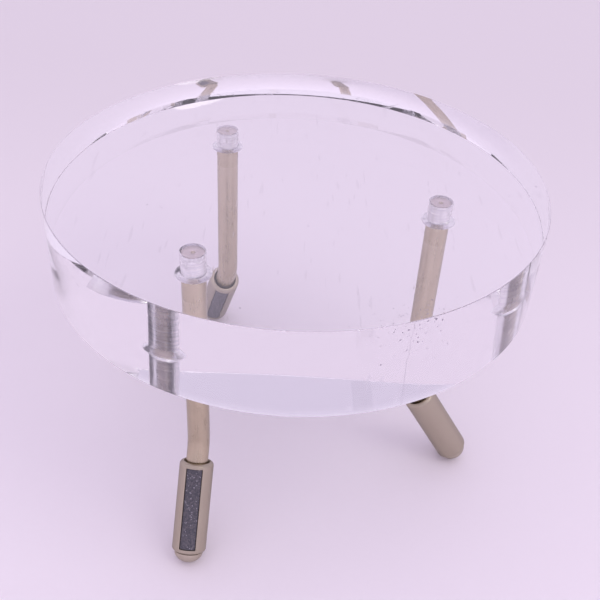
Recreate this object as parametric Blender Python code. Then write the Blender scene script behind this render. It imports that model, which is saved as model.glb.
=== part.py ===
"""Display stand: a thick clear disc on three bent metal legs with sleeve feet.

Frame: metres, +Z up. The origin is on the disc's vertical axis, at the level
of the surface the stand rests on. +X points over the right-hand leg, -Y is the
front. Each leg stands in a blind bore in the disc's underside, runs straight
down, bends outwards and ends inside a tubular foot.
"""
import math

import bmesh
import bpy
from mathutils import Matrix, Vector

MM = 0.001

# ---------------------------------------------------------------- disc
DISC_R = 50.8 * MM
DISC_T = 18.85 * MM
DISC_EDGE = 0.4 * MM            # polished edge break, top and bottom
DISC_SEGMENTS = 96

# ---------------------------------------------------------------- bores
BORE_R = 2.48 * MM
BORE_DEPTH = 11.5 * MM          # from the underside, blind
BORE_MOUTH_R = 3.5 * MM         # countersunk mouth
BORE_SEGMENTS = 48

# ---------------------------------------------------------------- leg rods
ROD_R = 2.38 * MM
ROD_SEGMENTS = 32
ROD_END_CHAMFER = 0.3 * MM
ROD_TOP_GAP = 0.35 * MM         # rod end to bore end
ROD_DIMPLE_R = 0.45 * MM        # centre mark in the upper end
ROD_DIMPLE_DEPTH = 0.35 * MM
LEG_TILT = math.radians(32.0)   # lower end, from vertical
BEND_R = 9.0 * MM               # centre-line radius
BEND_STEPS = 8

# name, bore x, bore y, bend direction from +X, turn of the sleeve on its rod
LEGS = (
    ("front_left", -18.34 * MM, -25.55 * MM, math.radians(-95.3), math.radians(-3.6)),
    ("right", 29.36 * MM, -3.56 * MM, math.radians(-1.0), math.radians(-110.0)),
    ("rear_left", -16.41 * MM, 22.61 * MM, math.radians(113.0), math.radians(-155.0)),
)

# ---------------------------------------------------------------- feet
# distances along the foot's axis are counted from the leg's bend corner
FOOT_START = 4.5 * MM
SLEEVE_LENGTH = 20.0 * MM
SLEEVE_R = 3.7 * MM
SLEEVE_BORE_R = 2.48 * MM
SLEEVE_MOUTH_R = 2.82 * MM      # flared mouth
SLEEVE_MOUTH_DEPTH = 0.9 * MM
SLEEVE_RIM_R = 0.85 * MM        # rounding of the upper rim
SLEEVE_SHOULDER_R = 0.6 * MM    # rounding of the lower end
SLEEVE_SEGMENTS = 40
ROD_END_AT = FOOT_START + 16.5 * MM

GROOVE_AT = FOOT_START + 12.0 * MM
GROOVE_WIDTH = 1.2 * MM
ROD_GROOVE_R = 1.93 * MM
SLEEVE_GROOVE_R = 2.92 * MM
RING_MAJOR_R = 2.42 * MM
RING_MINOR_R = 0.4 * MM

WINDOW_WIDTH = 3.55 * MM
WINDOW_START = FOOT_START + 1.0 * MM
WINDOW_END = FOOT_START + 19.0 * MM
WINDOW_CORNER_R = 0.3 * MM
INSERT_GAP = 0.2 * MM
INSERT_INNER_R = 3.0 * MM
INSERT_OUTER_R = 3.55 * MM

TIP_GAP = 0.15 * MM
TIP_DOME_R = 3.15 * MM          # across the foot's axis
TIP_DOME_H = 2.55 * MM          # along it
TIP_STEM_R = 2.25 * MM
TIP_STEM_LENGTH = 2.6 * MM
TIP_SEGMENTS = 32
DOME_AT = FOOT_START + SLEEVE_LENGTH + TIP_GAP

# ---------------------------------------------------------------- heights
DOME_DROP = math.hypot(TIP_DOME_R * math.sin(LEG_TILT), TIP_DOME_H * math.cos(LEG_TILT))
CORNER_Z = DOME_AT * math.cos(LEG_TILT) + DOME_DROP
CORNER_BELOW_TOP = 52.7 * MM
TOP_Z = CORNER_Z + CORNER_BELOW_TOP
UNDERSIDE_Z = TOP_Z - DISC_T
ROD_TOP_Z = UNDERSIDE_Z + BORE_DEPTH - ROD_TOP_GAP


# ------------------------------------------------------------------ helpers
def clear_scene():
    for ob in list(bpy.data.objects):
        bpy.data.objects.remove(ob, do_unlink=True)


def material(name, colour, roughness, metallic, transmission=0.0, ior=1.45):
    mat = bpy.data.materials.new(name)
    mat.use_nodes = True
    shader = mat.node_tree.nodes["Principled BSDF"]
    shader.inputs["Base Color"].default_value = (*colour, 1.0)
    shader.inputs["Roughness"].default_value = roughness
    shader.inputs["Metallic"].default_value = metallic
    shader.inputs["Transmission Weight"].default_value = transmission
    shader.inputs["IOR"].default_value = ior
    mat.diffuse_color = (*colour, 1.0)
    return mat


def empty(name, location, parent=None, rotation=None):
    ob = bpy.data.objects.new(name, None)
    ob.empty_display_size = 5 * MM
    bpy.context.scene.collection.objects.link(ob)
    ob.parent = parent
    ob.location = location
    if rotation is not None:
        ob.rotation_euler = rotation
    return ob


def add_object(name, bm, mat=None, parent=None, location=(0, 0, 0), rotation=(0, 0, 0)):
    bmesh.ops.recalc_face_normals(bm, faces=bm.faces)
    mesh = bpy.data.meshes.new(name)
    bm.to_mesh(mesh)
    bm.free()
    mesh.shade_smooth()
    mesh.set_sharp_from_angle(angle=math.radians(32))
    ob = bpy.data.objects.new(name, mesh)
    bpy.context.scene.collection.objects.link(ob)
    if mat is not None:
        mesh.materials.append(mat)
    ob.parent = parent
    ob.location = location
    ob.rotation_euler = rotation
    return ob


def as_cutter(ob):
    ob.hide_render = True
    ob.display_type = "WIRE"
    return ob


def cut(ob, cutter):
    mod = ob.modifiers.new("cut_" + cutter.name, "BOOLEAN")
    mod.operation = "DIFFERENCE"
    mod.solver = "EXACT"
    mod.object = cutter


def arc(centre, radius, start, end, steps):
    """Points of an arc in the (r, z) plane, both ends included; degrees."""
    out = []
    for i in range(steps + 1):
        a = math.radians(start + (end - start) * i / steps)
        out.append((centre[0] + radius * math.cos(a), centre[1] + radius * math.sin(a)))
    return out


def turned(profile, segments, closed):
    """Spin an (r, z) outline about Z. An open outline starts and ends on the axis."""
    bm = bmesh.new()
    verts = [bm.verts.new((r, 0.0, z)) for r, z in profile]
    edges = [bm.edges.new((a, b)) for a, b in zip(verts, verts[1:])]
    if closed:
        edges.append(bm.edges.new((verts[-1], verts[0])))
    bmesh.ops.spin(bm, geom=verts + edges, cent=(0, 0, 0), axis=(0, 0, 1),
                   angle=2 * math.pi, steps=segments, use_merge=False)
    bmesh.ops.remove_doubles(bm, verts=bm.verts, dist=1e-6)
    return bm


# ------------------------------------------------------------------- pieces
def make_disc(mat):
    """Thick flat disc with three blind countersunk bores in its underside."""
    bm = bmesh.new()
    circle = bmesh.ops.create_circle(bm, cap_ends=True, radius=DISC_R, segments=DISC_SEGMENTS)
    base = circle["verts"][0].link_faces[0]
    grown = bmesh.ops.extrude_face_region(bm, geom=[base])
    top = [v for v in grown["geom"] if isinstance(v, bmesh.types.BMVert)]
    bmesh.ops.translate(bm, verts=top, vec=(0, 0, DISC_T))
    rims = [e for e in bm.edges if abs(e.verts[0].co.z - e.verts[1].co.z) < 1e-7]
    bmesh.ops.bevel(bm, geom=rims, offset=DISC_EDGE, offset_type="OFFSET", segments=2,
                    profile=0.5, affect="EDGES")
    disc = add_object("platform_disc", bm, mat, location=(0, 0, UNDERSIDE_Z))

    overrun = 0.5 * MM
    mouth_depth = BORE_MOUTH_R - BORE_R
    outline = [(0, -overrun), (BORE_MOUTH_R + overrun, -overrun), (BORE_R, mouth_depth),
               (BORE_R, BORE_DEPTH), (0, BORE_DEPTH)]
    for name, x, y, _, _ in LEGS:
        bore = as_cutter(add_object("bore_cutter_" + name, turned(outline, BORE_SEGMENTS, False),
                                    location=(x, y, UNDERSIDE_Z)))
        cut(disc, bore)
    return disc


def rod_stations():
    """Centre, tangent and radius of each ring along the rod, from its upper end down.

    The leg's bend corner is the local origin, the bend lies in the local XZ
    plane and the foot runs towards +X and down.
    """
    down = Vector((0, 0, -1))
    out_dir = Vector((math.sin(LEG_TILT), 0, -math.cos(LEG_TILT)))
    top = ROD_TOP_Z - CORNER_Z
    tangent = BEND_R * math.tan(LEG_TILT / 2)
    rings = [
        (Vector((0, 0, top)), down, ROD_DIMPLE_R),
        (Vector((0, 0, top)), down, ROD_R - ROD_END_CHAMFER),
        (Vector((0, 0, top - ROD_END_CHAMFER)), down, ROD_R),
    ]
    centre = Vector((BEND_R, 0, tangent))
    for i in range(BEND_STEPS + 1):
        a = LEG_TILT * i / BEND_STEPS
        point = centre + BEND_R * Vector((-math.cos(a), 0, -math.sin(a)))
        heading = Vector((math.sin(a), 0, -math.cos(a)))
        rings.append((point, heading, ROD_R))
    half = GROOVE_WIDTH / 2
    for at, radius in ((GROOVE_AT - half, ROD_R), (GROOVE_AT - half, ROD_GROOVE_R),
                       (GROOVE_AT + half, ROD_GROOVE_R), (GROOVE_AT + half, ROD_R),
                       (ROD_END_AT - ROD_END_CHAMFER, ROD_R),
                       (ROD_END_AT, ROD_R - ROD_END_CHAMFER)):
        rings.append((out_dir * at, out_dir, radius))
    return rings


def make_rod(name, mat, parent):
    """Round bar, bent near its lower end, with a ring groove inside the foot."""
    bm = bmesh.new()
    loops = []
    side = Vector((0, 1, 0))
    for point, heading, radius in rod_stations():
        across = side.cross(heading)
        frame = Matrix((across, side, -heading)).transposed().to_4x4()
        frame.translation = point
        made = bmesh.ops.create_circle(bm, cap_ends=False, radius=radius,
                                       segments=ROD_SEGMENTS, matrix=frame)
        loops.append(made["verts"])
    for upper, lower in zip(loops, loops[1:]):
        n = len(upper)
        for i in range(n):
            bm.faces.new((upper[i], upper[(i + 1) % n], lower[(i + 1) % n], lower[i]))
    apex = bm.verts.new((0, 0, ROD_TOP_Z - CORNER_Z - ROD_DIMPLE_DEPTH))
    n = len(loops[0])
    for i in range(n):
        bm.faces.new((loops[0][(i + 1) % n], loops[0][i], apex))
    bm.faces.new(loops[-1])
    return add_object("leg_rod_" + name, bm, mat, parent)


def make_sleeve(name, mat, parent, turn):
    """Tubular foot with a rounded rim, an inner ring groove and a long window."""
    start, end = FOOT_START, FOOT_START + SLEEVE_LENGTH
    half = GROOVE_WIDTH / 2
    outline = [(SLEEVE_BORE_R, start + SLEEVE_MOUTH_DEPTH), (SLEEVE_MOUTH_R, start)]
    outline += arc((SLEEVE_R - SLEEVE_RIM_R, start + SLEEVE_RIM_R), SLEEVE_RIM_R, -90, 0, 5)
    outline += arc((SLEEVE_R - SLEEVE_SHOULDER_R, end - SLEEVE_SHOULDER_R),
                   SLEEVE_SHOULDER_R, 0, 90, 4)
    outline += [(SLEEVE_BORE_R, end),
                (SLEEVE_BORE_R, GROOVE_AT + half), (SLEEVE_GROOVE_R, GROOVE_AT + half),
                (SLEEVE_GROOVE_R, GROOVE_AT - half), (SLEEVE_BORE_R, GROOVE_AT - half)]
    sleeve = add_object("foot_sleeve_" + name, turned(outline, SLEEVE_SEGMENTS, True), mat,
                        parent, rotation=(0, 0, turn))

    bm = bmesh.new()
    length = WINDOW_END - WINDOW_START
    bmesh.ops.create_cube(bm, size=1.0)
    bmesh.ops.scale(bm, verts=bm.verts, vec=(SLEEVE_R, WINDOW_WIDTH, length))
    bmesh.ops.translate(bm, verts=bm.verts,
                        vec=(SLEEVE_R * 0.5 + 1.6 * MM, 0, (WINDOW_START + WINDOW_END) / 2))
    corners = [e for e in bm.edges if abs(e.verts[0].co.x - e.verts[1].co.x) > 1e-5]
    bmesh.ops.bevel(bm, geom=corners, offset=WINDOW_CORNER_R, offset_type="OFFSET",
                    segments=2, profile=0.5, affect="EDGES")
    window = as_cutter(add_object("window_cutter_" + name, bm, parent=parent,
                                  rotation=(0, 0, turn)))
    cut(sleeve, window)
    return sleeve


def make_insert(name, mat, parent, turn):
    """Curved strip that fills the sleeve's window, set just under its surface."""
    width = WINDOW_WIDTH / 2 - INSERT_GAP
    steps = 6
    section = []
    for radius, order in ((INSERT_OUTER_R, range(-steps, steps + 1)),
                          (INSERT_INNER_R, range(steps, -steps - 1, -1))):
        limit = math.asin(width / radius)
        section += [(radius * math.cos(limit * i / steps), radius * math.sin(limit * i / steps))
                    for i in order if i % 2 == 0]
    bm = bmesh.new()
    face = bm.faces.new([bm.verts.new((x, y, WINDOW_START + INSERT_GAP)) for x, y in section])
    grown = bmesh.ops.extrude_face_region(bm, geom=[face])
    moved = [v for v in grown["geom"] if isinstance(v, bmesh.types.BMVert)]
    bmesh.ops.translate(bm, verts=moved,
                        vec=(0, 0, WINDOW_END - WINDOW_START - 2 * INSERT_GAP))
    return add_object("foot_insert_" + name, bm, mat, parent, rotation=(0, 0, turn))


def make_tip(name, mat, parent):
    """Domed plug on a stem, closing the sleeve's lower end and meeting the floor."""
    # one ring of points passes through the dome's lowest place
    low = math.degrees(math.atan2(TIP_DOME_H * math.cos(LEG_TILT),
                                  TIP_DOME_R * math.sin(LEG_TILT)))
    angles = [low * i / 4 for i in range(5)]
    angles += [low + (90 - low) * i / 2 for i in range(1, 3)]
    outline = [(0, DOME_AT - TIP_STEM_LENGTH), (TIP_STEM_R, DOME_AT - TIP_STEM_LENGTH),
               (TIP_STEM_R, DOME_AT)]
    for a in angles[:-1]:
        outline.append((TIP_DOME_R * math.cos(math.radians(a)),
                        DOME_AT + TIP_DOME_H * math.sin(math.radians(a))))
    outline.append((0, DOME_AT + TIP_DOME_H))
    return add_object("foot_tip_" + name, turned(outline, TIP_SEGMENTS, False), mat, parent)


def make_ring(name, mat, parent):
    """Round-section ring held half in the rod's groove and half in the sleeve's."""
    outline = arc((RING_MAJOR_R, GROOVE_AT), RING_MINOR_R, 0, 360, 8)[:-1]
    return add_object("foot_o_ring_" + name, turned(outline, SLEEVE_SEGMENTS, True), mat, parent)


def main():
    clear_scene()
    acrylic = material("clear_acrylic", (0.93, 0.93, 0.95), 0.03, 0.0, 1.0, 1.49)
    rod_metal = material("rod_nickel", (0.62, 0.55, 0.53), 0.3, 1.0)
    sleeve_metal = material("sleeve_nickel", (0.58, 0.51, 0.49), 0.34, 1.0)
    tip_metal = material("tip_nickel", (0.6, 0.53, 0.51), 0.3, 1.0)
    grit = material("dark_grit", (0.10, 0.10, 0.11), 0.7, 0.0)
    rubber = material("black_rubber", (0.03, 0.03, 0.03), 0.6, 0.0)

    platform = empty("platform", (0, 0, 0))
    make_disc(acrylic).parent = platform
    foot_axes = Matrix(((math.cos(LEG_TILT), 0, math.sin(LEG_TILT)),
                        (0, -1, 0),
                        (math.sin(LEG_TILT), 0, -math.cos(LEG_TILT))))
    for name, x, y, bearing, turn in LEGS:
        leg = empty("leg_axis_" + name, (x, y, CORNER_Z), platform, (0, 0, bearing))
        make_rod(name, rod_metal, leg)
        foot = empty("foot_axis_" + name, (0, 0, 0), leg, foot_axes.to_euler())
        make_sleeve(name, sleeve_metal, foot, turn)
        make_insert(name, grit, foot, turn)
        make_tip(name, tip_metal, foot)
        make_ring(name, rubber, foot)


main()
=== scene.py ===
"""Looks for the clear display stand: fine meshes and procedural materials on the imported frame."""

import math

import bmesh
import bpy
from mathutils import Matrix, Vector, noise


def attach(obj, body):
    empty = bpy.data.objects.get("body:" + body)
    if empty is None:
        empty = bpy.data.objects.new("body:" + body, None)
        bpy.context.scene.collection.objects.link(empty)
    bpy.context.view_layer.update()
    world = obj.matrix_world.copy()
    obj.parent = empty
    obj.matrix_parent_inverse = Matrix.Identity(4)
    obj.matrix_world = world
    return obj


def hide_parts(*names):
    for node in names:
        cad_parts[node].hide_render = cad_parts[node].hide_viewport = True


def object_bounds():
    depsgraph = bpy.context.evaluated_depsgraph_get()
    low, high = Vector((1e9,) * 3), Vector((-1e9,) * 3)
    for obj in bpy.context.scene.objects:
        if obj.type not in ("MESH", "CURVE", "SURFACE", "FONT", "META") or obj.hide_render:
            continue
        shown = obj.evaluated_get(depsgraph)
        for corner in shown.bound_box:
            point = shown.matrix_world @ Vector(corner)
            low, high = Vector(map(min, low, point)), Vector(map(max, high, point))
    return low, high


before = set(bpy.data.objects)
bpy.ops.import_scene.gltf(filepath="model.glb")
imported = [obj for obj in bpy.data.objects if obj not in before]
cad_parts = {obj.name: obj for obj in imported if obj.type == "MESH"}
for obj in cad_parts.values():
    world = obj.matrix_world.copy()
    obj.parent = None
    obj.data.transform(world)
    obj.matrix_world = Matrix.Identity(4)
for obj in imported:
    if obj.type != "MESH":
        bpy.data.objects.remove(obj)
CAD_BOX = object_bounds()
CAD_BOX = [list(CAD_BOX[0]), list(CAD_BOX[1])]

MM = 0.001

# ------------------------------------------------------------- dimensions
DISC_R = 50.8 * MM
DISC_T = 18.85 * MM
DISC_EDGE = 0.12 * MM
BORE_R = 2.48 * MM
BORE_DEPTH = 11.5 * MM
BORE_MOUTH_R = 3.5 * MM
ROD_R = 2.38 * MM
ROD_TOP_GAP = 0.35 * MM
LEG_TILT = math.radians(32.0)
BEND_R = 9.0 * MM
FOOT_START = 4.5 * MM
SLEEVE_LENGTH = 20.0 * MM
SLEEVE_R = 3.7 * MM
SLEEVE_BORE_R = 2.48 * MM
SLEEVE_MOUTH_R = 2.82 * MM
SLEEVE_MOUTH_DEPTH = 0.9 * MM
SLEEVE_RIM_R = 0.85 * MM
SLEEVE_SHOULDER_R = 0.6 * MM
ROD_END_AT = FOOT_START + 16.5 * MM
GROOVE_AT = FOOT_START + 12.0 * MM
GROOVE_WIDTH = 1.2 * MM
ROD_GROOVE_R = 1.93 * MM
SLEEVE_GROOVE_R = 2.92 * MM
RING_MAJOR_R = 2.42 * MM
RING_MINOR_R = 0.4 * MM
WINDOW_WIDTH = 3.55 * MM
WINDOW_START = FOOT_START + 1.0 * MM
WINDOW_END = FOOT_START + 19.0 * MM
WINDOW_CORNER_R = 0.15 * MM
INSERT_GAP = 0.2 * MM
INSERT_INNER_R = 3.32 * MM
INSERT_OUTER_R = 3.55 * MM
TIP_GAP = 0.15 * MM
TIP_DOME_R = 3.15 * MM
TIP_DOME_H = 2.55 * MM
TIP_STEM_R = 2.25 * MM
TIP_STEM_LENGTH = 2.6 * MM
DOME_AT = FOOT_START + SLEEVE_LENGTH + TIP_GAP
CORNER_Z = DOME_AT * math.cos(LEG_TILT) + math.hypot(TIP_DOME_R * math.sin(LEG_TILT),
                                                     TIP_DOME_H * math.cos(LEG_TILT))
TOP_Z = CORNER_Z + 52.7 * MM
UNDERSIDE_Z = TOP_Z - DISC_T
ROD_TOP_Z = UNDERSIDE_Z + BORE_DEPTH - ROD_TOP_GAP

INDEX = 1.60                    # of the clear plastic
KNOCK = (0.415 * DISC_R, -0.91 * DISC_R)      # a knocked place on the front rim
KNOCK_TURN = math.atan2(0.415, 0.91)
CRACK_SHIFT = 1.2 * MM

LEGS = (
    ("front_left", -18.34 * MM, -25.55 * MM, math.radians(-95.3), math.radians(-3.6)),
    ("right", 29.36 * MM, -3.56 * MM, math.radians(-1.0), math.radians(-110.0)),
    ("rear_left", -16.41 * MM, 22.61 * MM, math.radians(113.0), math.radians(-155.0)),
)


# ------------------------------------------------------------- mesh helpers
def arc(centre, radius, start, end, steps):
    out = []
    for i in range(steps + 1):
        a = math.radians(start + (end - start) * i / steps)
        out.append((centre[0] + radius * math.cos(a), centre[1] + radius * math.sin(a)))
    return out


def store_lengthwise(mesh, values):
    """A vector per point, (r cos, r sin, length): fine lines follow the piece's own length."""
    attribute = mesh.attributes.new("lengthwise", "FLOAT_VECTOR", "POINT")
    flat = [c for v in values for c in v]
    attribute.data.foreach_set("vector", flat)


def finish_mesh(name, bm, sharp_deg, materials, lengthwise=None, matrix=None):
    bm.verts.ensure_lookup_table()
    bmesh.ops.recalc_face_normals(bm, faces=bm.faces)
    mesh = bpy.data.meshes.new(name)
    bm.to_mesh(mesh)
    bm.free()
    if lengthwise is None:
        lengthwise = [tuple(v.co) for v in mesh.vertices]
    store_lengthwise(mesh, lengthwise)
    if matrix is not None:
        mesh.transform(matrix)
    mesh.shade_smooth()
    mesh.set_sharp_from_angle(angle=math.radians(sharp_deg))
    for m in materials:
        mesh.materials.append(m)
    ob = bpy.data.objects.new(name, mesh)
    bpy.context.scene.collection.objects.link(ob)
    return ob


def turned(profile, segments, closed):
    bm = bmesh.new()
    verts = [bm.verts.new((r, 0.0, z)) for r, z in profile]
    edges = [bm.edges.new((a, b)) for a, b in zip(verts, verts[1:])]
    if closed:
        edges.append(bm.edges.new((verts[-1], verts[0])))
    bmesh.ops.spin(bm, geom=verts + edges, cent=(0, 0, 0), axis=(0, 0, 1),
                   angle=2 * math.pi, steps=segments, use_merge=False)
    bmesh.ops.remove_doubles(bm, verts=bm.verts, dist=5e-7)
    return bm


def leg_matrix(x, y, bearing):
    return Matrix.Translation((x, y, CORNER_Z)) @ Matrix.Rotation(bearing, 4, "Z")


FOOT_AXES = Matrix(((math.cos(LEG_TILT), 0, math.sin(LEG_TILT)),
                    (0, -1, 0),
                    (math.sin(LEG_TILT), 0, -math.cos(LEG_TILT)))).to_4x4()


# ------------------------------------------------------------- node helpers
class Nodes:
    """Short names for building one material's node tree."""

    def __init__(self, name):
        self.mat = bpy.data.materials.new(name)
        self.mat.use_nodes = True
        self.tree = self.mat.node_tree
        self.shader = self.tree.nodes["Principled BSDF"]

    def add(self, kind, **values):
        node = self.tree.nodes.new(kind)
        for key, value in values.items():
            if key in node.inputs:
                node.inputs[key].default_value = value
            else:
                setattr(node, key, value)
        return node

    def link(self, a, b):
        self.tree.links.new(a, b)

    def coords(self, kind, scale):
        if kind == "lengthwise":
            source = self.add("ShaderNodeAttribute", attribute_name="lengthwise").outputs["Vector"]
        else:
            source = self.add("ShaderNodeTexCoord").outputs["Object"]
        mapping = self.add("ShaderNodeMapping")
        mapping.inputs["Scale"].default_value = scale
        self.link(source, mapping.inputs["Vector"])
        return mapping.outputs["Vector"]

    def noise(self, vector, scale=1.0, detail=4.0, rough=0.5, distortion=0.0):
        node = self.add("ShaderNodeTexNoise")
        node.inputs["Scale"].default_value = scale
        node.inputs["Detail"].default_value = detail
        node.inputs["Roughness"].default_value = rough
        node.inputs["Distortion"].default_value = distortion
        self.link(vector, node.inputs["Vector"])
        return node.outputs["Fac"]

    def voronoi(self, vector, scale, feature="F1", out="Distance", randomness=1.0):
        node = self.add("ShaderNodeTexVoronoi", feature=feature)
        node.inputs["Scale"].default_value = scale
        node.inputs["Randomness"].default_value = randomness
        self.link(vector, node.inputs["Vector"])
        return node.outputs[out]

    def ramp(self, value, stops, interpolation="LINEAR"):
        node = self.add("ShaderNodeValToRGB")
        node.color_ramp.interpolation = interpolation
        elements = node.color_ramp.elements
        while len(elements) < len(stops):
            elements.new(0.5)
        for element, (pos, colour) in zip(elements, stops):
            element.position = pos
            if not hasattr(colour, "__len__"):
                colour = (colour, colour, colour)
            element.color = (*colour, 1.0)
        self.link(value, node.inputs["Fac"])
        return node.outputs["Color"]

    def math(self, operation, a, b=None, c=None):
        node = self.add("ShaderNodeMath", operation=operation)
        for i, v in enumerate((a, b, c)):
            if v is None:
                continue
            if hasattr(v, "links"):
                self.link(v, node.inputs[i])
            else:
                node.inputs[i].default_value = v
        return node.outputs[0]

    def mix(self, factor, a, b):
        node = self.add("ShaderNodeMix", data_type="RGBA")
        for socket, v in ((node.inputs[0], factor), (node.inputs[6], a), (node.inputs[7], b)):
            if hasattr(v, "links"):
                self.link(v, socket)
            elif socket is node.inputs[0]:
                socket.default_value = v
            else:
                socket.default_value = (*v, 1.0)
        return node.outputs[2]

    def bump(self, height, strength, distance, normal=None):
        node = self.add("ShaderNodeBump")
        node.inputs["Strength"].default_value = strength
        node.inputs["Distance"].default_value = distance
        self.link(height, node.inputs["Height"])
        if normal is not None:
            self.link(normal, node.inputs["Normal"])
        return node.outputs["Normal"]

    def set(self, **values):
        for key, value in values.items():
            socket = self.shader.inputs[key.replace("_", " ")]
            if hasattr(value, "links"):
                self.link(value, socket)
            elif hasattr(value, "__len__"):
                socket.default_value = (*value, 1.0)
            else:
                socket.default_value = value
        return self.mat


# ------------------------------------------------------------- materials
def acrylic_material(name, scratch=1.0, side=False):
    n = Nodes(name)
    # hairline scratches in a few directions, and dust-sized specks
    obj = n.coords("object", (1, 1, 1))
    fine = None
    for angle, scale, lo in ((0.5, 900, 0.745), (1.9, 700, 0.75), (2.7, 1100, 0.745)):
        mapping = n.add("ShaderNodeMapping")
        mapping.inputs["Rotation"].default_value = (0, 0, angle)
        mapping.inputs["Scale"].default_value = (1.0, 0.13, 1.0)
        n.link(obj, mapping.inputs["Vector"])
        line = n.ramp(n.noise(mapping.outputs["Vector"], scale, 1.0, 0.4, 0.3),
                      [(lo, 0.0), (lo + 0.035, 1.0)])
        fine = line if fine is None else n.math("MAXIMUM", fine, line)
    specks = n.voronoi(obj, 260.0)
    speck_on = n.ramp(specks, [(0.035, 1.0), (0.055, 0.0)])
    pick = n.ramp(n.voronoi(obj, 260.0, out="Color"), [(0.80, 0.0), (0.82, 1.0)])
    speck_on = n.math("MULTIPLY", speck_on, pick)
    waviness = n.noise(n.coords("object", (1, 1, 1)), 30.0, 1.0, 0.5)
    normal = n.bump(waviness, 0.03, 0.0001)
    normal = n.bump(fine, 0.10 * scratch, 0.00002, normal)
    rough = n.math("MULTIPLY_ADD", fine, 0.08, 0.004)
    # a knocked place near the front: chips along the rim, dark specks, one hairline crack
    local = n.add("ShaderNodeMapping", vector_type="TEXTURE")
    local.inputs["Location"].default_value = (KNOCK[0], KNOCK[1], TOP_Z)
    local.inputs["Rotation"].default_value = (0, 0, KNOCK_TURN)
    n.link(obj, local.inputs["Vector"])
    split = n.add("ShaderNodeSeparateXYZ")
    n.link(local.outputs["Vector"], split.inputs[0])
    along, inward, up = split.outputs
    near = n.add("ShaderNodeVectorMath", operation="LENGTH")
    n.link(local.outputs["Vector"], near.inputs[0])
    knocked = n.ramp(n.math("MULTIPLY", near.outputs["Value"], 1.0 / (22 * MM)), [(0.1, 1.0), (1.0, 0.0)])
    chips = n.noise(obj, 1500.0, 3.0, 0.6)
    chip_on = n.math("GREATER_THAN", n.math("MULTIPLY_ADD", knocked, 0.20, chips), 0.83)
    speck_on = n.math("MAXIMUM", speck_on, chip_on)
    if side:
        saw = n.noise(n.coords("object", (1, 1, 14)), 160.0, 2.0, 0.5)
        rough = n.math("MULTIPLY_ADD", saw, 0.012, rough)
        wander = n.math("MULTIPLY_ADD", n.noise(obj, 260.0, 2.0, 0.5), 1.6 * MM, -0.8 * MM)
        off = n.math("ABSOLUTE", n.math("ADD", n.math("ADD", along, wander), CRACK_SHIFT))
        crack = n.math("LESS_THAN", off, 0.07 * MM)
        crack = n.math("MULTIPLY", crack, n.math("LESS_THAN", inward, 20 * MM))
        speck_on = n.math("MAXIMUM", speck_on, n.math("MULTIPLY", crack, 0.45))
    rough = n.math("MULTIPLY_ADD", speck_on, 0.4, rough)
    clear = n.mix(n.math("MULTIPLY", fine, 0.16 * scratch), (0.985, 0.985, 0.995), (0.45, 0.42, 0.46))
    colour = n.mix(speck_on, clear, (0.25, 0.22, 0.28))
    return n.set(Base_Color=colour, Roughness=rough, Metallic=0.0, Transmission_Weight=1.0,
                 IOR=INDEX, Normal=normal)


def frosted_material(name, lo, hi, clear, rough_lo, rough_hi):
    """Sanded or drilled acrylic that lets part of the light through."""
    n = Nodes(name)
    patch = n.noise(n.coords("object", (1, 1, 1)), 700.0, 3.0, 0.5)
    grain = n.noise(n.coords("object", (1, 1, 1)), 6000.0, 2.0, 0.5)
    rough = n.ramp(patch, [(0.3, rough_lo), (0.7, rough_hi)])
    colour = n.ramp(patch, [(0.3, lo), (0.7, hi)])
    return n.set(Base_Color=colour, Roughness=rough, Metallic=0.0, Transmission_Weight=clear,
                 IOR=INDEX, Normal=n.bump(grain, 0.2, 0.00002))


def bore_material():
    """Drilled acrylic: fine rings from the drill, frosted grey."""
    n = Nodes("drilled_acrylic")
    z = n.coords("object", (0.05, 0.05, 1))
    rings = n.noise(z, 3200.0, 3.0, 0.6)
    coarse = n.noise(z, 900.0, 2.0, 0.5)
    patch = n.noise(n.coords("object", (1, 1, 1)), 300.0, 3.0, 0.5)
    normal = n.bump(rings, 0.35, 0.00006)
    normal = n.bump(coarse, 0.25, 0.00012, normal)
    rough = n.ramp(patch, [(0.3, 0.16), (0.7, 0.32)])
    tone = n.math("MULTIPLY_ADD", rings, 0.75, n.math("MULTIPLY", patch, 0.25))
    colour = n.ramp(tone, [(0.38, (0.46, 0.44, 0.54)), (0.62, (0.95, 0.93, 0.99))])
    return n.set(Base_Color=colour, Roughness=rough, Metallic=0.0, Transmission_Weight=0.72,
                 IOR=INDEX, Normal=normal)


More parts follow.
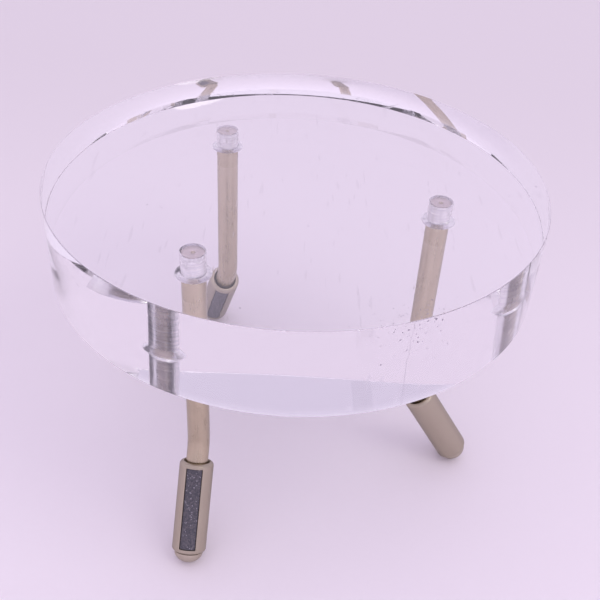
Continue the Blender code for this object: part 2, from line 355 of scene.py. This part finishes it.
def metal_material(name, light, dark, rough_lo, rough_hi, line_strength):
    """Satin nickel over drawn metal: fine lines along the piece, faint blotches, painted reflection stripes
    along its length, and painted shade that darkens the edges seen side-on.
    """
    n = Nodes(name)
    along = n.coords("lengthwise", (1, 1, 0.03))
    lines = n.noise(along, 5200.0, 4.0, 0.6)
    wide = n.noise(along, 900.0, 2.0, 0.5)
    blotch = n.noise(n.coords("lengthwise", (1, 1, 0.5)), 330.0, 4.0, 0.55, 0.4)
    pits = n.ramp(n.voronoi(n.coords("lengthwise", (1, 1, 1)), 1500.0), [(0.05, 0.0), (0.12, 1.0)])
    # painted reflection: soft dark stripes running along the piece, like a polished rod's reflection bands
    painted_reflection_bands = n.noise(n.coords("lengthwise", (1, 1, 0.012)), 420.0, 2.0, 0.5)
    tone = n.math("MULTIPLY_ADD", blotch, 0.4, n.math("MULTIPLY", lines, 0.1))
    tone = n.math("MULTIPLY_ADD", painted_reflection_bands, 0.5, tone)
    colour = n.ramp(tone, [(0.35, dark), (0.62, light)])
    colour = n.mix(n.math("MULTIPLY_ADD", pits, -0.25, 0.25), colour, tuple(c * 0.6 for c in dark))
    # painted shade: the colour darkens towards the edges that are seen side-on
    facing = n.add("ShaderNodeLayerWeight", Blend=0.5).outputs["Facing"]
    rim = n.ramp(facing, [(0.45, 0.0), (0.92, 0.5)])
    colour = n.mix(rim, colour, tuple(c * 0.62 for c in dark))
    rough = n.ramp(n.math("ADD", n.math("MULTIPLY", lines, 0.4), n.math("MULTIPLY", blotch, 0.6)),
                   [(0.3, rough_lo), (0.7, rough_hi)])
    normal = n.bump(lines, line_strength, 0.00001)
    normal = n.bump(wide, line_strength * 0.5, 0.00002, normal)
    normal = n.bump(pits, 0.2, 0.00001, normal)
    return n.set(Base_Color=colour, Roughness=rough, Metallic=1.0, Normal=normal)


def grit_material():
    """Dark bonded grit with small bright flakes."""
    n = Nodes("dark_grit_fine")
    v = n.coords("lengthwise", (1, 1, 1))
    grains = n.voronoi(v, 3200.0, out="Color")
    edges = n.voronoi(v, 3200.0)
    soft = n.noise(v, 700.0, 3.0, 0.6)
    sparkle = n.ramp(n.voronoi(v, 4200.0, out="Color"), [(0.84, 0.0), (0.87, 1.0)])
    base = n.ramp(grains, [(0.0, (0.045, 0.048, 0.062)), (0.5, (0.085, 0.085, 0.10)),
                           (1.0, (0.17, 0.155, 0.165))])
    base = n.mix(n.math("MULTIPLY", soft, 0.6), base, (0.10, 0.095, 0.11))
    colour = n.mix(sparkle, base, (0.28, 0.27, 0.30))
    rough = n.math("MULTIPLY_ADD", sparkle, -0.45, 0.75)
    metal = n.math("MULTIPLY", sparkle, 0.6)
    normal = n.bump(edges, 0.9, 0.00007)
    return n.set(Base_Color=colour, Roughness=rough, Metallic=metal, Normal=normal)


def rubber_material():
    n = Nodes("ring_rubber")
    v = n.coords("object", (1, 1, 1))
    mould = n.noise(v, 2500.0, 3.0, 0.5)
    colour = n.ramp(mould, [(0.3, (0.018, 0.018, 0.018)), (0.7, (0.04, 0.04, 0.042))])
    rough = n.ramp(mould, [(0.3, 0.5), (0.7, 0.75)])
    return n.set(Base_Color=colour, Roughness=rough, Metallic=0.0,
                 Normal=n.bump(mould, 0.3, 0.00003))


# ------------------------------------------------------------- pieces
def make_disc(face_mat, side_mat, bore_mat, end_mat, edge_mat):
    """The disc with polished faces, a turned side, broken edges and drilled bores."""
    segments, bore_segments = 384, 96
    bm = bmesh.new()
    t = DISC_T

    def ring(cx, cy, z, r, count):
        return [bm.verts.new((cx + r * math.cos(2 * math.pi * i / count),
                              cy + r * math.sin(2 * math.pi * i / count), z))
                for i in range(count)]

    def wall(a, b, index):
        count = len(a)
        for i in range(count):
            j = (i + 1) % count
            face = bm.faces.new((a[i], a[j], b[j], b[i]))
            face.material_index = index

    # outer side, bottom to top, with rounded edge breaks
    profile = arc((DISC_R - DISC_EDGE, DISC_EDGE), DISC_EDGE, -90, 0, 6)
    profile += arc((DISC_R - DISC_EDGE, t - DISC_EDGE), DISC_EDGE, 0, 90, 6)
    rings = [ring(0, 0, z, r, segments) for r, z in profile]
    for k, (a, b) in enumerate(zip(rings, rings[1:])):
        wall(a, b, 1 if k == len(rings) // 2 - 1 else 4)
    top = bm.faces.new(rings[-1])
    top.material_index = 0

    # bores: countersunk mouth, ringed wall, flat end with a small chamfer at its edge
    mouths = []
    for name, x, y, _, _ in LEGS:
        mouth_depth = BORE_MOUTH_R - BORE_R
        section = [(BORE_MOUTH_R, 0.0), (BORE_MOUTH_R - 0.06 * MM, 0.04 * MM),
                   (BORE_R + 0.05 * MM, mouth_depth - 0.05 * MM), (BORE_R, mouth_depth + 0.05 * MM)]
        steps = 44
        for i in range(1, steps):
            z = mouth_depth + 0.05 * MM + (BORE_DEPTH - mouth_depth - 0.3 * MM) * i / steps
            ripple = 0.006 * MM * math.sin(i * 2.3) + 0.004 * MM * math.sin(i * 0.9 + x * 900)
            section.append((BORE_R + ripple, z))
        section += [(BORE_R, BORE_DEPTH - 0.15 * MM), (BORE_R - 0.15 * MM, BORE_DEPTH)]
        loops = [ring(x, y, z, r, bore_segments) for r, z in section]
        for a, b in zip(loops, loops[1:]):
            wall(a, b, 2)
        end = bm.faces.new(loops[-1])
        end.material_index = 3
        mouths.append(loops[0])

    # underside: the ring between the rim and the three mouths
    bm.verts.ensure_lookup_table()
    border = []
    for loop in [rings[0]] + mouths:
        for i in range(len(loop)):
            border.append(bm.edges.get((loop[i], loop[(i + 1) % len(loop)])))
    made = bmesh.ops.triangle_fill(bm, edges=border, use_beauty=True, use_dissolve=False)
    for f in made["geom"]:
        if isinstance(f, bmesh.types.BMFace):
            f.material_index = 0
    ob = finish_mesh("clear_disc", bm, 35, [face_mat, side_mat, bore_mat, end_mat, edge_mat],
                     matrix=Matrix.Translation((0, 0, UNDERSIDE_Z)))
    for polygon in ob.data.polygons:      # the polished faces are truly flat
        if polygon.material_index in (0, 3):
            polygon.use_smooth = False
    return ob


def rod_rings():
    down = Vector((0, 0, -1))
    out_dir = Vector((math.sin(LEG_TILT), 0, -math.cos(LEG_TILT)))
    top = ROD_TOP_Z - CORNER_Z
    tangent = BEND_R * math.tan(LEG_TILT / 2)
    rings = []
    s = 0.0

    def put(point, heading, radius, at):
        rings.append((point, heading, radius, at))

    put(Vector((0, 0, top - 0.30 * MM)), down, 0.05 * MM, 0)
    put(Vector((0, 0, top - 0.02 * MM)), down, 0.42 * MM, 0)
    put(Vector((0, 0, top)), down, 0.47 * MM, 0)
    put(Vector((0, 0, top)), down, ROD_R - 0.30 * MM, 0)
    put(Vector((0, 0, top - 0.06 * MM)), down, ROD_R - 0.12 * MM, 0.0001)
    put(Vector((0, 0, top - 0.25 * MM)), down, ROD_R - 0.01 * MM, 0.0003)
    straight = top - tangent
    for i in range(1, 9):
        z = top - 0.3 * MM - (straight - 0.3 * MM) * i / 8
        put(Vector((0, 0, z)), down, ROD_R, top - z)
    centre = Vector((BEND_R, 0, tangent))
    steps = 24
    for i in range(1, steps + 1):
        a = LEG_TILT * i / steps
        point = centre + BEND_R * Vector((-math.cos(a), 0, -math.sin(a)))
        heading = Vector((math.sin(a), 0, -math.cos(a)))
        put(point, heading, ROD_R, top - tangent + BEND_R * a)
    base = top - tangent + BEND_R * LEG_TILT - tangent
    half = GROOVE_WIDTH / 2
    for at, radius in ((GROOVE_AT - half, ROD_R), (GROOVE_AT - half + 0.05 * MM, ROD_GROOVE_R),
                       (GROOVE_AT + half - 0.05 * MM, ROD_GROOVE_R), (GROOVE_AT + half, ROD_R),
                       (ROD_END_AT - 0.3 * MM, ROD_R), (ROD_END_AT, ROD_R - 0.3 * MM)):
        put(out_dir * at, out_dir, radius, base + at)
    return rings


def make_rod(name, mat, end_mat, matrix):
    count = 72
    bm = bmesh.new()
    side = Vector((0, 1, 0))
    loops, lengthwise = [], []
    for point, heading, radius, at in rod_rings():
        across = side.cross(heading)
        loop = []
        for i in range(count):
            a = 2 * math.pi * i / count
            loop.append(bm.verts.new(point + radius * (math.cos(a) * across + math.sin(a) * side)))
            lengthwise.append((radius * math.cos(a), radius * math.sin(a), at))
        loops.append(loop)
    for upper, lower in zip(loops, loops[1:]):
        for i in range(count):
            j = (i + 1) % count
            face = bm.faces.new((upper[i], upper[j], lower[j], lower[i]))
            face.material_index = 1 if upper is loops[2] or upper is loops[3] else 0
    bm.faces.new(loops[0])
    bm.faces.new(loops[-1])
    return finish_mesh("rod_" + name, bm, 40, [mat, end_mat], lengthwise, matrix)


def make_sleeve(name, mat, matrix):
    """Rounded-rim tube with a square-cornered window, its edges lightly broken."""
    start, end = FOOT_START, FOOT_START + SLEEVE_LENGTH
    half = GROOVE_WIDTH / 2
    outline = [(SLEEVE_BORE_R, start + SLEEVE_MOUTH_DEPTH), (SLEEVE_MOUTH_R - 0.02 * MM, start + 0.05 * MM),
               (SLEEVE_MOUTH_R, start)]
    outline += arc((SLEEVE_R - SLEEVE_RIM_R, start + SLEEVE_RIM_R), SLEEVE_RIM_R, -86, 0, 9)
    for i in range(1, 12):
        outline.append((SLEEVE_R, start + SLEEVE_RIM_R
                        + (SLEEVE_LENGTH - SLEEVE_RIM_R - SLEEVE_SHOULDER_R) * i / 12))
    outline += arc((SLEEVE_R - SLEEVE_SHOULDER_R, end - SLEEVE_SHOULDER_R),
                   SLEEVE_SHOULDER_R, 0, 90, 8)
    outline += [(SLEEVE_BORE_R, end),
                (SLEEVE_BORE_R, GROOVE_AT + half), (SLEEVE_GROOVE_R, GROOVE_AT + half),
                (SLEEVE_GROOVE_R, GROOVE_AT - half), (SLEEVE_BORE_R, GROOVE_AT - half)]
    sleeve = finish_mesh("sleeve_" + name, turned(outline, 96, True), 40, [mat])

    bm = bmesh.new()
    bmesh.ops.create_cube(bm, size=1.0)
    bmesh.ops.scale(bm, verts=bm.verts, vec=(SLEEVE_R, WINDOW_WIDTH, WINDOW_END - WINDOW_START))
    bmesh.ops.translate(bm, verts=bm.verts,
                        vec=(SLEEVE_R * 0.5 + 1.6 * MM, 0, (WINDOW_START + WINDOW_END) / 2))
    corners = [e for e in bm.edges if abs(e.verts[0].co.x - e.verts[1].co.x) > 1e-5]
    bmesh.ops.bevel(bm, geom=corners, offset=WINDOW_CORNER_R, offset_type="OFFSET",
                    segments=4, profile=0.5, affect="EDGES")
    cutter = finish_mesh("window_" + name, bm, 40, [mat])
    mod = sleeve.modifiers.new("window", "BOOLEAN")
    mod.operation, mod.solver, mod.object = "DIFFERENCE", "EXACT", cutter
    bpy.context.view_layer.update()
    done = bpy.data.meshes.new_from_object(sleeve.evaluated_get(
        bpy.context.evaluated_depsgraph_get()))
    sleeve.modifiers.clear()
    sleeve.data = done
    bpy.data.objects.remove(cutter, do_unlink=True)
    done.transform(matrix)
    done.shade_smooth()
    done.set_sharp_from_angle(angle=math.radians(40))
    return sleeve


def make_insert(name, mat, matrix, seed):
    """The grit strip: a curved pad with a rough, grainy face and ragged edges."""
    half_w = WINDOW_WIDTH / 2 - 0.06 * MM
    z0, z1 = WINDOW_START + 0.06 * MM, WINDOW_END - 0.06 * MM
    cols, rows = 36, 190
    bm = bmesh.new()
    limit = math.asin(half_w / INSERT_OUTER_R)
    lengthwise = []

    def point(radius, u, v, rough):
        a = limit * (2 * u - 1) * INSERT_OUTER_R / max(radius, 1e-9) if radius < INSERT_OUTER_R \
            else limit * (2 * u - 1)
        z = z0 + (z1 - z0) * v
        edge = min(u, 1 - u) * cols, min(v, 1 - v) * rows
        fade = min(1.0, min(edge) / 2.0)
        q = Vector((radius * math.sin(a), z, seed * 0.01)) / MM
        lift = noise.noise(q * 3.3) * 0.045 + noise.noise(q * 9.0) * 0.04
        r = radius + (lift * MM * fade - (1 - fade) * 0.10 * MM if rough else 0.0)
        lengthwise.append((r * math.cos(a), r * math.sin(a), z))
        return bm.verts.new((r * math.cos(a), r * math.sin(a), z))

    outer = [[point(INSERT_OUTER_R, i / cols, j / rows, True) for i in range(cols + 1)]
             for j in range(rows + 1)]
    for j in range(rows):
        for i in range(cols):
            bm.faces.new((outer[j][i], outer[j][i + 1], outer[j + 1][i + 1], outer[j + 1][i]))
    rim = outer[0][:] + [row[-1] for row in outer[1:]] + outer[-1][-2::-1] \
        + [row[0] for row in outer[-2:0:-1]]
    inner = []
    for v in rim:
        a = math.atan2(v.co.y, v.co.x)
        inner.append(bm.verts.new((INSERT_INNER_R * math.cos(a), INSERT_INNER_R * math.sin(a),
                                   v.co.z)))
        lengthwise.append(tuple(inner[-1].co))
    for i in range(len(rim)):
        j = (i + 1) % len(rim)
        bm.faces.new((rim[i], inner[i], inner[j], rim[j]))
    bm.verts.ensure_lookup_table()
    bmesh.ops.holes_fill(bm, edges=[e for e in bm.edges if e.is_boundary], sides=0)
    return finish_mesh("grit_strip_" + name, bm, 60, [mat], None, matrix)


def make_tip(name, mat, matrix):
    outline = [(0, DOME_AT - TIP_STEM_LENGTH), (TIP_STEM_R - 0.1 * MM, DOME_AT - TIP_STEM_LENGTH),
               (TIP_STEM_R, DOME_AT - TIP_STEM_LENGTH + 0.1 * MM), (TIP_STEM_R, DOME_AT),
               (TIP_DOME_R - 0.08 * MM, DOME_AT), (TIP_DOME_R, DOME_AT + 0.06 * MM)]
    for r, z in arc((0, 0), 1.0, 3, 90, 22):
        outline.append((TIP_DOME_R * r, DOME_AT + TIP_DOME_H * z))
    outline[-1] = (0, DOME_AT + TIP_DOME_H)
    return finish_mesh("dome_tip_" + name, turned(outline, 72, False), 40, [mat], None, matrix)


def make_ring(name, mat, matrix):
    outline = arc((RING_MAJOR_R, GROOVE_AT), RING_MINOR_R, 0, 360, 20)[:-1]
    return finish_mesh("o_ring_" + name, turned(outline, 72, True), 60, [mat], None, matrix)


def build():
    face = acrylic_material("polished_acrylic")
    side = acrylic_material("turned_acrylic", 0.6, side=True)
    bore = bore_material()
    bore_end = frosted_material("drilled_end", (0.95, 0.92, 0.97), (0.99, 0.97, 1.0), 0.88, 0.12, 0.28)
    edge = frosted_material("broken_edge", (0.92, 0.88, 0.95), (0.97, 0.94, 0.99), 0.92, 0.12, 0.3)
    rod_mat = metal_material("nickel_rod", (0.575, 0.495, 0.365), (0.455, 0.39, 0.285), 0.24, 0.34, 0.06)
    # painted light: the rod's end is a much brighter copy of the nickel, standing in for the light that
    # reaches it down the bore
    painted_light_rod_end = metal_material("nickel_rod_end", (0.92, 0.84, 0.80), (0.84, 0.76, 0.72), 0.4, 0.55, 0.1)
    sleeve_mat = metal_material("nickel_sleeve", (0.58, 0.515, 0.405), (0.36, 0.32, 0.255),
                                0.38, 0.52, 0.1)
    tip_mat = metal_material("nickel_tip", (0.57, 0.51, 0.41), (0.46, 0.41, 0.33), 0.34, 0.46, 0.1)
    grit = grit_material()
    rubber = rubber_material()

    disc = make_disc(face, side, bore, bore_end, edge)
    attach(disc, "platform")
    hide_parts("platform_disc")

    for k, (name, x, y, bearing, turn) in enumerate(LEGS):
        leg = leg_matrix(x, y, bearing)
        foot = leg @ FOOT_AXES
        turned_foot = foot @ Matrix.Rotation(turn, 4, "Z")
        rows = (
            (make_rod(name, rod_mat, painted_light_rod_end, leg), "leg_", "leg_rod_", "rod_nickel"),
            (make_ring(name, rubber, foot), "leg_", "foot_o_ring_", "black_rubber"),
            (make_sleeve(name, sleeve_mat, turned_foot), "foot_", "foot_sleeve_", "sleeve_nickel"),
            (make_insert(name, grit, turned_foot, k + 1), "foot_", "foot_insert_", "dark_grit"),
            (make_tip(name, tip_mat, foot), "foot_", "foot_tip_", "tip_nickel"),
        )
        for piece, body, node, slot in rows:
            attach(piece, body + name)
            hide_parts(node + name)


# ------------------------------------------------------------- surroundings
def make_stage():
    bm = bmesh.new()
    bmesh.ops.create_grid(bm, x_segments=8, y_segments=8, size=2.5)
    mesh = bpy.data.meshes.new("floor")
    bm.to_mesh(mesh)
    bm.free()
    floor = bpy.data.objects.new("floor", mesh)
    bpy.context.scene.collection.objects.link(floor)
    floor.location = (0, 0, -0.00002)
    n = Nodes("floor_paper")
    grain = n.noise(n.coords("object", (1, 1, 1)), 900.0, 3.0, 0.5)
    colour = n.ramp(grain, [(0.3, (0.935, 0.895, 0.94)), (0.7, (0.945, 0.905, 0.95))])
    # painted light: the floor is lighter at the front and darker towards the back, standing in for light
    # falling from the front
    place = n.add("ShaderNodeSeparateXYZ")
    n.link(n.coords("object", (1, 1, 1)), place.inputs[0])
    fade = n.ramp(n.math("MULTIPLY_ADD", place.outputs[1], 2.0, 0.5), [(0.0, 0.0), (1.0, 1.0)],
                  "EASE")
    colour = n.mix(fade, colour, (0.715, 0.68, 0.705))
    mesh.materials.append(n.set(Base_Color=colour, Roughness=0.62, Metallic=0.0))

    world = bpy.data.worlds.new("studio")
    bpy.context.scene.world = world
    world.use_nodes = True
    tree = world.node_tree
    background = tree.nodes["Background"]
    coordinate = tree.nodes.new("ShaderNodeTexCoord")
    split = tree.nodes.new("ShaderNodeSeparateXYZ")
    ramp = tree.nodes.new("ShaderNodeValToRGB")
    stops = ((0.0, (0.80, 0.70, 0.87)), (0.655, (0.78, 0.69, 0.86)), (0.675, (0.574, 0.502, 0.65)),
             (0.75, (0.583, 0.511, 0.66)), (0.84, (1.06, 0.93, 1.12)))
    while len(ramp.color_ramp.elements) < len(stops):
        ramp.color_ramp.elements.new(0.5)
    for element, (position, colour) in zip(ramp.color_ramp.elements, stops):
        element.position = position
        element.color = (*colour, 1)
    tree.links.new(coordinate.outputs["Generated"], split.inputs[0])
    tree.links.new(split.outputs[2], ramp.inputs[0])
    tree.links.new(ramp.outputs[0], background.inputs["Color"])
    background.inputs["Strength"].default_value = 1.13

    def area(name, location, target, size, power, colour):
        light = bpy.data.lights.new(name, "AREA")
        light.shape = "DISK"
        light.size = size
        light.energy = power
        light.color = colour
        ob = bpy.data.objects.new(name, light)
        bpy.context.scene.collection.objects.link(ob)
        ob.location = location
        direction = Vector(target) - Vector(location)
        ob.rotation_euler = direction.to_track_quat("-Z", "Y").to_euler()

    area("key", (1.30, -0.75, 1.85), (0, 0, 0.0), 1.1, 6.0, (1.0, 0.98, 0.88))


def make_camera():
    data = bpy.data.cameras.new("camera")
    data.sensor_width = 36.0
    data.lens = 51.72
    data.clip_start, data.clip_end = 0.01, 10
    camera = bpy.data.objects.new("camera", data)
    bpy.context.scene.collection.objects.link(camera)
    right = Vector((0.99852961, 0.02408151, 0.04856641))
    up = Vector((-0.05321868, 0.60594414, 0.79372506))
    ahead = Vector((0.01031444, 0.79514261, -0.60633475))
    turn = Matrix((right, up, -ahead)).transposed()
    camera.matrix_world = Matrix.Translation(
        (0.0, -3.0584246 * DISC_R, TOP_Z + 1.6928954 * DISC_R)) @ turn.to_4x4()
    bpy.context.scene.camera = camera


build()
make_stage()
make_camera()
scene = bpy.context.scene
scene.view_settings.view_transform = "Standard"
scene.cycles.max_bounces = 24
scene.cycles.transmission_bounces = 24
scene.cycles.glossy_bounces = 16
